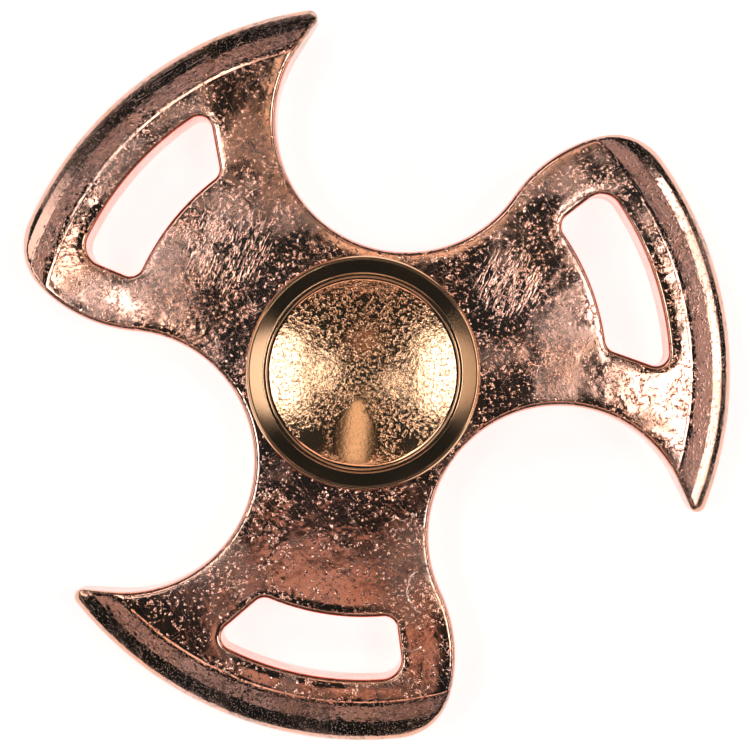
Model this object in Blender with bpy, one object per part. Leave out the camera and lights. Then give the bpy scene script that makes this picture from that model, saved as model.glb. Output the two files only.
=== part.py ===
"""Three-bladed metal fidget spinner on a 608-size ball bearing, as an assembly of its real pieces.

Units are metres, +Z is up, the origin is on the spin axis at mid-thickness, and +X and +Y span
the plane of the blades. Each blade is one third of a turn from the next.
"""
import math

import bmesh
import bpy
from mathutils import Vector, geometry

MM = 0.001

# Blades and hub casting
BLADE_COUNT = 3
ROTOR_RADIUS = 37.1 * MM
BODY_THICKNESS = 7.0 * MM
HUB_WALL = 1.5 * MM             # casting wall left between the bearing and each valley
VALLEY_RADIUS = 13.1 * MM
VALLEY_ANGLE = math.radians(-39.8)
HEEL_RADIUS = 5.9 * MM          # blunt end of the cutting edge
HEEL_ANGLE = math.radians(-84.6)
FLANK_RADIUS = 14.9 * MM
BEAK_LIFT = math.radians(4.0)   # rise of the straight stretch behind the pointed end
TIP_RADIUS = 0.95 * MM
BEVEL_WIDTH = 4.1 * MM          # from the rim to the crease on the face
BEVEL_DROP = 1.2 * MM
ROLL_WIDTH = 1.3 * MM           # rounded band that runs round the rim
ROLL_DROP = 1.2 * MM
EDGE_FILLET = 0.5 * MM

# Window through each blade
SLOT_INSIDE_RIM = 6.4 * MM      # from the rim to the window's outer arc
SLOT_WIDTH = 6.2 * MM
SLOT_HEEL_ANGLE = math.radians(-82.4)
SLOT_BEAK_ANGLE = math.radians(-119.7)
SLOT_BEAK_SLANT = math.radians(20.0)   # of the window's edge at the pointed end, from the radius
SLOT_CORNER = 1.3 * MM
SLOT_HEEL_CORNER = 2.0 * MM
SLOT_FILLET = 0.4 * MM

# Ball bearing
BEARING_BORE = 8.0 * MM
BEARING_DIAMETER = 22.0 * MM
BEARING_WIDTH = 7.0 * MM
BALL_COUNT = 7
BALL_DIAMETER = 3.969 * MM
RACE_LAND_GAP = 2.9 * MM        # between the two races' lands
GROOVE_CONFORMITY = 0.52        # groove radius over ball diameter
RACE_CHAMFER = 0.3 * MM
SHIELD_THICKNESS = 0.25 * MM
SHIELD_RECESS = 0.85 * MM       # step for the shield, below the bearing's face
SHIELD_SEAT = 0.65 * MM         # width of that step
SNAP_GROOVE_DEPTH = 0.3 * MM
SNAP_RING_WIDTH = 0.5 * MM
SNAP_RING_THICKNESS = 0.22 * MM
SNAP_RING_GAP = math.radians(24.0)
CAGE_THICKNESS = 0.3 * MM
CAGE_WIDTH = 1.7 * MM
RIVET_RADIUS = 0.35 * MM
RIVET_HEAD_RADIUS = 0.6 * MM
RIVET_HEAD_HEIGHT = 0.25 * MM

# Finger caps, screwed together through the bearing
CAP_RADIUS = 11.7 * MM
CAP_HEIGHT = 2.4 * MM           # above the faces that it covers
CAP_EDGE_RADIUS = 0.55 * MM
CAP_BAND_WIDTH = 1.2 * MM
CAP_BAND_DROP = 0.75 * MM
CAP_LIP_WIDTH = 0.35 * MM
CAP_RIM_STEP = 0.15 * MM
CAP_RIM_STEP_WIDTH = 0.25 * MM
DISH_DEPTH = 1.05 * MM
CAP_CLEARANCE = 0.4 * MM        # between the cap and the turning casting and race
SHOULDER_INSET = 0.6 * MM       # from the inner race's land
CAP_CHAMFER = 0.15 * MM
STUD_RADIUS = 2.4 * MM
STUD_LENGTH = 2.6 * MM
SOCKET_SPARE = 0.4 * MM

# Clearances
PRESS_GAP = 0.05 * MM           # radial, between pieces pressed or screwed together
SEAT_GAP = 0.05 * MM            # axial, between faces that rest on each other
BALL_GAP = 0.06 * MM            # each side of a ball in its grooves
POCKET_GAP = 0.12 * MM
SHIELD_GAP = 0.12 * MM          # shield's inner edge to the inner race
STUD_GAP = 0.1 * MM

# Fineness of the mesh
TURNED_SEGMENTS = 36
GROOVE_STEPS = 8
RIVET_SEGMENTS = 8
FILLET_STEP = 0.25              # share of a fillet's width at which its curve is broken
ROLL_STEP = 0.4                 # the same for the rolled rim
MERGE = 0.001 * MM

# Values that follow
FACE = BODY_THICKNESS / 2
BORE_RADIUS = BEARING_BORE / 2
BEARING_RADIUS = BEARING_DIAMETER / 2
BEARING_FACE = BEARING_WIDTH / 2
TURNING_FACE = max(FACE, BEARING_FACE)   # the higher of the faces that turn under a cap
PITCH_RADIUS = (BORE_RADIUS + BEARING_RADIUS) / 2
BALL_RADIUS = BALL_DIAMETER / 2
GROOVE_RADIUS = GROOVE_CONFORMITY * BALL_DIAMETER
INNER_LAND = PITCH_RADIUS - RACE_LAND_GAP / 2
OUTER_LAND = PITCH_RADIUS + RACE_LAND_GAP / 2
CREASE_RADIUS = ROTOR_RADIUS - BEVEL_WIDTH
ROLL_START = ROTOR_RADIUS - ROLL_WIDTH
SLOT_OUTER = ROTOR_RADIUS - SLOT_INSIDE_RIM
SLOT_INNER = SLOT_OUTER - SLOT_WIDTH
CAGE_POCKET = BALL_RADIUS + POCKET_GAP
SECTOR = 2 * math.pi / BLADE_COUNT


def polar(radius, angle):
    return Vector((radius * math.cos(angle), radius * math.sin(angle)))


def heading(vector):
    return math.atan2(vector.y, vector.x)


def turned_by(points, angle):
    return [polar(point.length, heading(point) + angle) for point in points]


def arc(centre, radius, start, end, steps):
    """Points on an arc from start to end, both included."""
    return [centre + polar(radius, start + (end - start) * i / steps) for i in range(steps + 1)]


def onward(start, end, sense=1):
    """The end direction as an angle reached from start by turning one way only."""
    return start + sense * ((sense * (end - start)) % (2 * math.pi))


def meeting_point(centre_a, radius_a, centre_b, radius_b):
    """Where two circles cross, on the left of the way from a to b."""
    between = centre_b - centre_a
    along = (between.length_squared + radius_a ** 2 - radius_b ** 2) / (2 * between.length)
    aside = math.sqrt(radius_a ** 2 - along ** 2)
    forward = between.normalized()
    return centre_a + along * forward + aside * Vector((-forward.y, forward.x))


def corner_centre(point, inward, reach, radius):
    """Centre of a fillet that touches the straight edge at point, at this reach from the axis."""
    base = point + inward * radius
    along = Vector((-inward.y, inward.x))
    middle = -base.dot(along)
    half = math.sqrt(middle ** 2 - base.length_squared + reach ** 2)
    ends = [base + along * (middle + side * half) for side in (-1, 1)]
    return min(ends, key=lambda end: (end - point).length)


def blade_outline(inset):
    """Outline of the casting, anticlockwise, moved inwards by the inset: tangent arcs only."""
    heel = polar(ROTOR_RADIUS - HEEL_RADIUS, HEEL_ANGLE)
    valley_reach = BEARING_RADIUS + HUB_WALL + VALLEY_RADIUS
    valley = polar(valley_reach, VALLEY_ANGLE)
    flank = meeting_point(heel, FLANK_RADIUS - HEEL_RADIUS, valley, VALLEY_RADIUS + FLANK_RADIUS)

    last_valley = polar(valley_reach, VALLEY_ANGLE - SECTOR)
    leave = -math.pi / 2 - BEAK_LIFT
    inward = polar(1.0, leave)
    shoulder = last_valley + inward * VALLEY_RADIUS
    tip = corner_centre(shoulder, inward, ROTOR_RADIUS - TIP_RADIUS, TIP_RADIUS)

    back = heading(-inward)
    front = onward(back, heading(tip))
    blunt = onward(front, HEEL_ANGLE)
    side = onward(blunt, heading(heel - flank))
    waist = onward(side, heading(valley - flank))
    start = heading(flank - valley)
    end = onward(start, leave + SECTOR, -1)

    sector = arc(tip, TIP_RADIUS - inset, back, front, 4)
    sector += arc(Vector((0, 0)), ROTOR_RADIUS - inset, front, blunt, 16)[1:]
    sector += arc(heel, HEEL_RADIUS - inset, blunt, side, 6)[1:]
    sector += arc(flank, FLANK_RADIUS - inset, side, waist, 7)[1:]
    sector += arc(valley, VALLEY_RADIUS + inset, start, end, 13)[1:]
    return [p for k in range(BLADE_COUNT) for p in turned_by(sector, k * SECTOR)]


def slot_outline(grow, blade):
    """Window through one blade, clockwise, moved outwards into the metal by grow."""
    heel_edge = polar(SLOT_INNER, SLOT_HEEL_ANGLE)
    heel_inward = polar(1.0, SLOT_HEEL_ANGLE - math.pi / 2)
    beak_edge = polar(SLOT_OUTER, SLOT_BEAK_ANGLE)
    beak_inward = polar(1.0, SLOT_BEAK_ANGLE + math.pi / 2 - SLOT_BEAK_SLANT)
    corners = (
        (heel_edge, heel_inward, SLOT_OUTER, -1, SLOT_HEEL_CORNER),
        (beak_edge, beak_inward, SLOT_OUTER, -1, SLOT_CORNER),
        (beak_edge, beak_inward, SLOT_INNER, 1, SLOT_CORNER),
        (heel_edge, heel_inward, SLOT_INNER, 1, SLOT_CORNER),
    )
    points = []
    for number, (edge, inward, reach, side, radius) in enumerate(corners):
        centre = corner_centre(edge, inward, reach + side * radius, radius)
        at_arc = heading(-side * centre)
        at_edge = heading(-inward)
        start, end = (at_edge, at_arc) if number in (0, 2) else (at_arc, at_edge)
        corner = arc(centre, radius + grow, start, onward(start, end, -1), 4)
        if number in (1, 3):
            first = heading(points[-1])
            last = onward(first, heading(corner[0]), side)
            points += arc(Vector((0, 0)), reach - side * grow, first, last, 9)[1:-1]
        points += corner
    return turned_by(points, blade * SECTOR)


def circle(radius, segments):
    return arc(Vector((0, 0)), radius, 0.0, 2 * math.pi * (1 - 1 / segments), segments - 1)


def distance_to_loop(point, loop):
    best = math.inf
    for i, start in enumerate(loop):
        edge = start - loop[i - 1]
        share = (point - loop[i - 1]).dot(edge) / edge.length_squared
        nearest = loop[i - 1] + edge * min(max(share, 0.0), 1.0)
        best = min(best, (point - nearest).length)
    return best


def inside_loop(point, loop):
    inside = False
    for i, b in enumerate(loop):
        a = loop[i - 1]
        if (a.y > point.y) != (b.y > point.y):
            crossing = a.x + (point.y - a.y) * (b.x - a.x) / (b.y - a.y)
            inside ^= point.x < crossing
    return inside


def quarter_round(distance, radius):
    """Drop of a rounded edge at a distance from it."""
    if distance >= radius:
        return 0.0
    return radius - math.sqrt(max(radius ** 2 - (radius - distance) ** 2, 0.0))


def face_height(radius):
    """Height of the blade's face before its edges are rounded."""
    if radius <= CREASE_RADIUS:
        return FACE
    slope = BEVEL_DROP / (ROLL_START - CREASE_RADIUS)
    if radius <= ROLL_START:
        return FACE - slope * (radius - CREASE_RADIUS)
    share = min((radius - ROLL_START) / ROLL_WIDTH, 1.0)
    return FACE - BEVEL_DROP - ROLL_DROP * (1 - math.sqrt(1 - share ** 2))


def material(name, colour, roughness, metallic=1.0):
    made = bpy.data.materials.new(name)
    made.use_nodes = True
    shader = made.node_tree.nodes["Principled BSDF"]
    shader.inputs["Base Color"].default_value = (*colour, 1.0)
    shader.inputs["Roughness"].default_value = roughness
    shader.inputs["Metallic"].default_value = metallic
    made.diffuse_color = (*colour, 1.0)
    return made


def finished_mesh(name, bm):
    bmesh.ops.recalc_face_normals(bm, faces=bm.faces)
    mesh = bpy.data.meshes.new(name)
    bm.to_mesh(mesh)
    bm.free()
    mesh.shade_smooth()
    mesh.set_sharp_from_angle(angle=math.radians(30.0))
    return mesh


def add_object(name, mesh, look, parent, location=(0.0, 0.0, 0.0)):
    piece = bpy.data.objects.new(name, mesh)
    bpy.context.scene.collection.objects.link(piece)
    if look and not mesh.materials:
        mesh.materials.append(look)
    piece.parent = parent
    piece.location = location
    return piece


def add_empty(name):
    empty = bpy.data.objects.new(name, None)
    empty.empty_display_size = CAP_RADIUS
    bpy.context.scene.collection.objects.link(empty)
    return empty


def turned_mesh(name, profile, closed=True, segments=TURNED_SEGMENTS):
    """Spins a profile of (radius, height) about Z. An open profile starts and ends on the axis."""
    bm = bmesh.new()
    points = [bm.verts.new((radius, 0.0, height)) for radius, height in profile]
    edges = [bm.edges.new(pair) for pair in zip(points, points[1:])]
    if closed:
        edges.append(bm.edges.new((points[-1], points[0])))
    bmesh.ops.spin(bm, geom=edges, axis=(0, 0, 1), cent=(0, 0, 0), angle=2 * math.pi,
                   steps=segments, use_merge=True)
    bmesh.ops.remove_doubles(bm, verts=bm.verts, dist=MERGE)
    return finished_mesh(name, bm)


def mirrored_profile(profile):
    """The same profile on the other side of the mid-plane."""
    return [(radius, -height) for radius, height in profile]


def arc_profile(radius, height, size, start, end, steps):
    """Points of an arc in a (radius, height) profile."""
    angles = [start + (end - start) * i / steps for i in range(steps + 1)]
    return [(radius + size * math.cos(a), height + size * math.sin(a)) for a in angles]


def rotor_body(look, parent):
    """Casting: upper half as a relief over the outline, closed by a Mirror modifier."""
    outline = blade_outline(0.0)
    slots = [slot_outline(0.0, blade) for blade in range(BLADE_COUNT)]
    bore = circle(BEARING_RADIUS + PRESS_GAP, TURNED_SEGMENTS)
    loops = [outline, bore]
    loops += [blade_outline(inset) for inset in (FILLET_STEP * EDGE_FILLET, EDGE_FILLET)]
    loops += slots
    loops += [slot_outline(SLOT_FILLET, blade) for blade in range(BLADE_COUNT)]
    rolls = (ROLL_START, ROLL_START + ROLL_STEP * ROLL_WIDTH)
    loops += [circle(radius, 2 * TURNED_SEGMENTS) for radius in (CREASE_RADIUS, *rolls)]

    points = []
    edges = []
    for loop in loops:
        first = len(points)
        points += loop
        edges += [(first + i, first + (i + 1) % len(loop)) for i in range(len(loop))]
    flat, _, faces, _, _, _ = geometry.delaunay_2d_cdt(points, edges, [], 0, MERGE)

    bm = bmesh.new()
    for point in flat:
        height = face_height(point.length)
        height -= quarter_round(distance_to_loop(point, outline), EDGE_FILLET)
        for slot in slots:
            height -= quarter_round(distance_to_loop(point, slot), SLOT_FILLET)
        bm.verts.new((point.x, point.y, height))
    bm.verts.ensure_lookup_table()
    for face in faces:
        middle = sum((flat[i] for i in face), Vector((0, 0))) / len(face)
        holes = any(inside_loop(middle, hole) for hole in (bore, *slots))
        if inside_loop(middle, outline) and not holes:
            bm.faces.new([bm.verts[i] for i in face])
    loose = [vert for vert in bm.verts if not vert.link_faces]
    bmesh.ops.delete(bm, geom=loose, context="VERTS")
    rims = [edge for edge in bm.edges if edge.is_boundary]
    walls = bmesh.ops.extrude_edge_only(bm, edges=rims)["geom"]
    for vert in walls:
        if isinstance(vert, bmesh.types.BMVert):
            vert.co.z = 0.0
    body = add_object("rotor_body", finished_mesh("rotor_body", bm), look, parent)
    mirror = body.modifiers.new("lower_half", "MIRROR")
    mirror.use_axis = (False, False, True)
    mirror.merge_threshold = 0.01 * MM
    return body


def inner_race(look, parent):
    bottom = PITCH_RADIUS - BALL_RADIUS - BALL_GAP
    centre = bottom + GROOVE_RADIUS
    reach = math.acos((centre - INNER_LAND) / GROOVE_RADIUS)
    groove = arc_profile(centre, 0.0, GROOVE_RADIUS, math.pi - reach, math.pi + reach, GROOVE_STEPS)
    profile = [(BORE_RADIUS, BEARING_FACE - RACE_CHAMFER), (BORE_RADIUS + RACE_CHAMFER, BEARING_FACE),
               (INNER_LAND, BEARING_FACE)]
    profile += groove
    profile += [(INNER_LAND, -BEARING_FACE), (BORE_RADIUS + RACE_CHAMFER, -BEARING_FACE),
                (BORE_RADIUS, RACE_CHAMFER - BEARING_FACE)]
    return add_object("inner_race", turned_mesh("inner_race", profile), look, parent)


def shield_step():
    """Radius and height of the step that a shield sits on, above the mid-plane."""
    return OUTER_LAND + SHIELD_SEAT, BEARING_FACE - SHIELD_RECESS


def outer_race(look, parent):
    bottom = PITCH_RADIUS + BALL_RADIUS + BALL_GAP
    centre = bottom - GROOVE_RADIUS
    reach = math.acos((OUTER_LAND - centre) / GROOVE_RADIUS)
    step_radius, step = shield_step()
    groove_low = step + SHIELD_THICKNESS + 2 * SEAT_GAP
    groove_high = groove_low + SNAP_RING_THICKNESS + 2 * SEAT_GAP
    groove_radius = step_radius + SNAP_GROOVE_DEPTH
    upper = [(OUTER_LAND, step), (step_radius, step), (step_radius, groove_low),
             (groove_radius, groove_low), (groove_radius, groove_high), (step_radius, groove_high),
             (step_radius, BEARING_FACE), (BEARING_RADIUS - RACE_CHAMFER, BEARING_FACE),
             (BEARING_RADIUS, BEARING_FACE - RACE_CHAMFER)]
    profile = arc_profile(centre, 0.0, GROOVE_RADIUS, -reach, reach, GROOVE_STEPS)
    profile += upper + mirrored_profile(upper[::-1])
    return add_object("outer_race", turned_mesh("outer_race", profile), look, parent)


def shield(name, side, look, parent):
    step_radius, step = shield_step()
    low = step + SEAT_GAP
    high = low + SHIELD_THICKNESS
    inner = INNER_LAND + SHIELD_GAP
    outer = step_radius - SEAT_GAP
    profile = [(inner, low), (outer, low), (outer, high), (inner, high)]
    if side < 0:
        profile = mirrored_profile(profile)
    return add_object(name, turned_mesh(name, profile), look, parent)


def snap_ring(name, side, look, parent):
    """Split wire ring that holds a shield in the outer race."""
    step_radius, step = shield_step()
    low = step + SHIELD_THICKNESS + 3 * SEAT_GAP
    high = low + SNAP_RING_THICKNESS
    outer = step_radius + SNAP_GROOVE_DEPTH - SEAT_GAP
    inner = outer - SNAP_RING_WIDTH
    steps = TURNED_SEGMENTS
    bm = bmesh.new()
    rings = []
    for i in range(steps + 1):
        angle = SNAP_RING_GAP / 2 + (2 * math.pi - SNAP_RING_GAP) * i / steps
        corners = [(inner, low), (outer, low), (outer, high), (inner, high)]
        rings.append([bm.verts.new((*polar(radius, angle), side * height))
                      for radius, height in corners])
    for ring, following in zip(rings, rings[1:]):
        for i in range(4):
            bm.faces.new((ring[i - 1], ring[i], following[i], following[i - 1]))
    bm.faces.new(rings[0])
    bm.faces.new(rings[-1])
    return add_object(name, finished_mesh(name, bm), look, parent)


def ball_angle(number):
    return 2 * math.pi * number / BALL_COUNT


def balls(look, parent):
    """Each ball has its origin at its own centre, on the line that it spins about."""
    bm = bmesh.new()
    bmesh.ops.create_uvsphere(bm, u_segments=12, v_segments=8, radius=BALL_RADIUS)
    mesh = finished_mesh("ball", bm)
    for number in range(BALL_COUNT):
        place = (*polar(PITCH_RADIUS, ball_angle(number)), 0.0)
        add_object(f"ball_{number + 1}", mesh, look, parent, place)


def cage_sections(steps=8):
    """(angle, height) pairs of the ribbon's inner and outer faces, once round the cage."""
    low = SEAT_GAP
    high = SEAT_GAP + CAGE_THICKNESS
    inner = []
    outer = []
    for number in range(BALL_COUNT):
        for face, size, land in ((inner, CAGE_POCKET, low),
                                 (outer, CAGE_POCKET + CAGE_THICKNESS, high)):
            start = math.pi - math.asin(land / size)
            for i in range(steps + 1):
                bend = start + (math.pi - 2 * start) * i / steps
                along = size * math.cos(bend) / PITCH_RADIUS
                face.append((ball_angle(number) + along, size * math.sin(bend)))
    return inner, outer


def cage_half(name, side, look, parent, cutter):
    """Pressed ribbon with a pocket over each ball and a flat land between pockets."""
    inner, outer = cage_sections()
    bm = bmesh.new()
    rings = []
    for (angle_in, height_in), (angle_out, height_out) in zip(inner, outer):
        ring = []
        for radius, angle, height in (
                (PITCH_RADIUS - CAGE_WIDTH / 2, angle_in, height_in),
                (PITCH_RADIUS + CAGE_WIDTH / 2, angle_in, height_in),
                (PITCH_RADIUS + CAGE_WIDTH / 2, angle_out, height_out),
                (PITCH_RADIUS - CAGE_WIDTH / 2, angle_out, height_out)):
            ring.append(bm.verts.new((*polar(radius, angle), side * height)))
        rings.append(ring)
    for number, ring in enumerate(rings):
        last = rings[number - 1]
        for i in range(4):
            bm.faces.new((last[i - 1], last[i], ring[i], ring[i - 1]))
    half = add_object(name, finished_mesh(name, bm), look, parent)
    holes = half.modifiers.new("rivet_holes", "BOOLEAN")
    holes.operation = "DIFFERENCE"
    holes.object = cutter
    return half


def rivet_hole_cutter(parent):
    bm = bmesh.new()
    for number in range(BALL_COUNT):
        made = bmesh.ops.create_cone(
            bm, cap_ends=True, segments=RIVET_SEGMENTS, radius1=RIVET_RADIUS + PRESS_GAP,
            radius2=RIVET_RADIUS + PRESS_GAP, depth=4 * (CAGE_THICKNESS + SEAT_GAP))
        place = (*polar(PITCH_RADIUS, ball_angle(number + 0.5)), 0.0)
        bmesh.ops.translate(bm, verts=made["verts"], vec=place)
    cutter = add_object("rivet_hole_cutter", finished_mesh("rivet_hole_cutter", bm), None, parent)
    cutter.hide_render = True
    cutter.display_type = "WIRE"
    return cutter


def rivets(look, parent):
    seat = 2 * SEAT_GAP + CAGE_THICKNESS
    upper = [(0.0, seat + RIVET_HEAD_HEIGHT), (0.7 * RIVET_HEAD_RADIUS, seat + 0.8 * RIVET_HEAD_HEIGHT),
             (RIVET_HEAD_RADIUS, seat), (RIVET_RADIUS, seat)]
    profile = upper + mirrored_profile(upper[::-1])
    mesh = turned_mesh("rivet", profile, closed=False, segments=RIVET_SEGMENTS)
    for number in range(BALL_COUNT):
        place = (*polar(PITCH_RADIUS, ball_angle(number + 0.5)), 0.0)
        add_object(f"cage_rivet_{number + 1}", mesh, look, parent, place)


def cap_crown():
    """Profile of a cap's outside, from the centre of its dish to the foot of its skirt."""
    top = TURNING_FACE + CAP_HEIGHT
    band_outer = CAP_RADIUS - CAP_EDGE_RADIUS
    lip_outer = band_outer - CAP_BAND_WIDTH
    lip_inner = lip_outer - CAP_LIP_WIDTH
    dish = lip_inner - CAP_RIM_STEP_WIDTH
    dish_rim = top - CAP_RIM_STEP
    sphere = (dish ** 2 + DISH_DEPTH ** 2) / (2 * DISH_DEPTH)
    tilt = math.asin(dish / sphere)
    rise = dish_rim - DISH_DEPTH + sphere
    crown = arc_profile(0.0, rise, sphere, -math.pi / 2, tilt - math.pi / 2, 6)
    crown[0] = (0.0, crown[0][1])
    crown += [(lip_inner, top), (lip_outer, top)]
    edge = top - CAP_BAND_DROP - CAP_EDGE_RADIUS
    crown += arc_profile(band_outer, edge, CAP_EDGE_RADIUS, math.pi / 2, 0.0, 4)
    foot = TURNING_FACE + CAP_CLEARANCE
    crown += [(CAP_RADIUS, foot + CAP_CHAMFER), (CAP_RADIUS - CAP_CHAMFER, foot)]
    shoulder = INNER_LAND - SHOULDER_INSET
    boss = BORE_RADIUS - PRESS_GAP
    crown += [(shoulder, foot), (shoulder, BEARING_FACE + SEAT_GAP), (boss, BEARING_FACE + SEAT_GAP)]
    return crown


def caps(look, parent):
    """Top cap with the stud, bottom cap with the socket it screws into."""
    boss = BORE_RADIUS - PRESS_GAP
    top = cap_crown() + [(boss, SEAT_GAP), (STUD_RADIUS, SEAT_GAP), (STUD_RADIUS, -STUD_LENGTH),
                         (0.0, -STUD_LENGTH)]
    add_object("top_cap", turned_mesh("top_cap", top, closed=False), look, parent)
    socket = STUD_RADIUS + STUD_GAP
    depth = STUD_LENGTH + SOCKET_SPARE
    bottom = mirrored_profile(cap_crown())
    bottom += [(boss, -SEAT_GAP), (socket, -SEAT_GAP), (socket, -depth), (0.0, -depth)]
    add_object("bottom_cap", turned_mesh("bottom_cap", bottom, closed=False), look, parent)


def build():
    for leftover in list(bpy.data.objects):
        bpy.data.objects.remove(leftover, do_unlink=True)

    rose_gold = material("rose_gold_plating", (0.80, 0.50, 0.40), 0.16)
    cap_gold = material("cap_gold_plating", (0.90, 0.62, 0.40), 0.10)
    race_steel = material("bearing_steel", (0.72, 0.72, 0.74), 0.18)
    ball_steel = material("ball_steel", (0.84, 0.84, 0.86), 0.06)
    cage_steel = material("cage_steel", (0.60, 0.58, 0.54), 0.35)
    shield_steel = material("shield_steel", (0.66, 0.66, 0.68), 0.30)
    spring_steel = material("spring_steel", (0.42, 0.43, 0.46), 0.32)

    hub = add_empty("hub_axis")
    rotor = add_empty("rotor_axis")
    cage = add_empty("cage_axis")

    rotor_body(rose_gold, rotor)
    outer_race(race_steel, rotor)
    for side, where in ((1, "upper"), (-1, "lower")):
        shield(f"shield_{where}", side, shield_steel, rotor)
        snap_ring(f"snap_ring_{where}", side, spring_steel, rotor)

    balls(ball_steel, cage)
    cutter = rivet_hole_cutter(cage)
    for side, where in ((1, "upper"), (-1, "lower")):
        cage_half(f"cage_{where}", side, cage_steel, cage, cutter)
    rivets(cage_steel, cage)

    inner_race(race_steel, hub)
    caps(cap_gold, hub)


build()
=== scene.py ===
"""Looks of the three-bladed fidget spinner: plated rotor, polished finger caps and ball bearing.

Every length is in metres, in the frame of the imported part: +Z along the spin axis, origin at
mid-thickness. Radii and heights are read from the CAD nodes, and the rest are named here.
"""
import math

import bmesh
import bpy
import numpy as np
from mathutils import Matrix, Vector, geometry, noise


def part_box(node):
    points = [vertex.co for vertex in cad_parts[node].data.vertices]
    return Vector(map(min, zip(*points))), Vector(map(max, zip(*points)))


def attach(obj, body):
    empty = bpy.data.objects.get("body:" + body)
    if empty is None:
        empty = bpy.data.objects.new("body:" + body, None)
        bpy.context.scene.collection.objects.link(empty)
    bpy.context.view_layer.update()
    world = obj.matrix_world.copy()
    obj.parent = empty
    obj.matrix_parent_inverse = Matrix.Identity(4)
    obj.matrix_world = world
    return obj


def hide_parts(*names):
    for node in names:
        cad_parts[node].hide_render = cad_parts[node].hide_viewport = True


MM = 0.001
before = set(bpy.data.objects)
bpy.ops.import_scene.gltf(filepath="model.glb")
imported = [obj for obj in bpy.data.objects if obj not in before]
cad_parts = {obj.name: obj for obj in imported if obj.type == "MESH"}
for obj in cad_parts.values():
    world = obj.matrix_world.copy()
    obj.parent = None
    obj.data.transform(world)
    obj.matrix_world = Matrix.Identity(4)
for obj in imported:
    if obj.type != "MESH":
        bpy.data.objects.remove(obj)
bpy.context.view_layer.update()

# Sizes read from the frame
BODY_LOW, BODY_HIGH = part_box("rotor_body")
ROTOR_RADIUS = -BODY_LOW[1]
FACE = BODY_HIGH[2]
CAP_LOW, CAP_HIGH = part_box("top_cap")
CAP_RADIUS = CAP_HIGH[0]
CAP_TOP = CAP_HIGH[2]
STUD_LENGTH = -CAP_LOW[2]
RACE_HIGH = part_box("outer_race")[1]
BEARING_RADIUS = RACE_HIGH[0]
BEARING_FACE = RACE_HIGH[2]
INNER_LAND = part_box("inner_race")[1][0]
BALL_LOW, BALL_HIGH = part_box("ball_1")
BALL_RADIUS = (BALL_HIGH[2] - BALL_LOW[2]) / 2
PITCH_RADIUS = (BALL_LOW[0] + BALL_HIGH[0]) / 2
BALL_COUNT = sum(name.startswith("ball_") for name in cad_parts)

# Outline of the casting
BLADE_COUNT = 3
SECTOR = 2 * math.pi / BLADE_COUNT
HUB_WALL = 1.5 * MM
VALLEY_RADIUS = 13.1 * MM
VALLEY_ANGLE = math.radians(-39.8)
HEEL_RADIUS = 5.9 * MM
HEEL_ANGLE = math.radians(-84.6)
FLANK_RADIUS = 14.9 * MM
BEAK_LIFT = math.radians(4.0)
TIP_RADIUS = 0.95 * MM
BEVEL_WIDTH = 4.1 * MM
BEVEL_DROP = 1.2 * MM
BEVEL_BEND = 0.14                # share of the bevel's drop that comes from its bulge
ROLL_WIDTH = 1.3 * MM
ROLL_DROP = 1.2 * MM
EDGE_FILLET = 0.5 * MM
CREASE_RADIUS = ROTOR_RADIUS - BEVEL_WIDTH
ROLL_START = ROTOR_RADIUS - ROLL_WIDTH
CREASE_BLEND = 0.25 * MM         # half width of the rounding over the crease
RIM_FACETS = ((1.9 * MM, 0.08), (1.0 * MM, 0.20))   # width from the rim in, slope that it adds
RIM_BLEND = 0.12 * MM            # half width of the rounding where a facet starts
RIM_ROUND = 0.3 * MM
BORE_GAP = 0.05 * MM

# Window through each blade
SLOT_OUTER = ROTOR_RADIUS - 6.4 * MM
SLOT_INNER = SLOT_OUTER - 6.2 * MM
SLOT_HEEL_ANGLE = math.radians(-82.4)
SLOT_BEAK_ANGLE = math.radians(-119.7)
SLOT_BEAK_SLANT = math.radians(20.0)
SLOT_CORNER = 1.3 * MM
SLOT_HEEL_CORNER = 2.0 * MM
SLOT_FILLET = 0.4 * MM

# Hand-polished faces: they fall away softly towards every edge and are never quite flat
CROWN_DROP = 0.09 * MM
CROWN_BLUR = 0.8 * MM
WAVE_DROP = 0.035 * MM
WAVE_LENGTH = 7.0 * MM
WAVE_LAYER = 0.37                # height in the noise that the waves are read at

# Fineness of the meshes
LINE_STEPS = 12
TIP_STEPS = 14
RIM_STEPS = 90
HEEL_STEPS = 24
FLANK_STEPS = 40
VALLEY_STEPS = 80
SLOT_CORNER_STEPS = 12
SLOT_ARC_STEPS = 44
DISH_STEPS = 36
CAP_ROLL_STEPS = 14
GROOVE_STEPS = 24
POCKET_STEPS = 24
FACE_GRID = 0.5 * MM
EDGE_MARGIN = 0.8 * MM           # strip along the edges that the grid of the faces keeps out of
MASK_GRID = 0.2 * MM
MERGE = 0.001 * MM
FINE_SEGMENTS = 192
RIVET_SEGMENTS = 32
RIVET_HOLE_SEGMENTS = 24
RIVET_DOME_STEPS = 8
BALL_SEGMENTS = 64
SHARP_ANGLE = math.radians(38.0)
CAGE_SHARP_ANGLE = math.radians(50.0)

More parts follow.
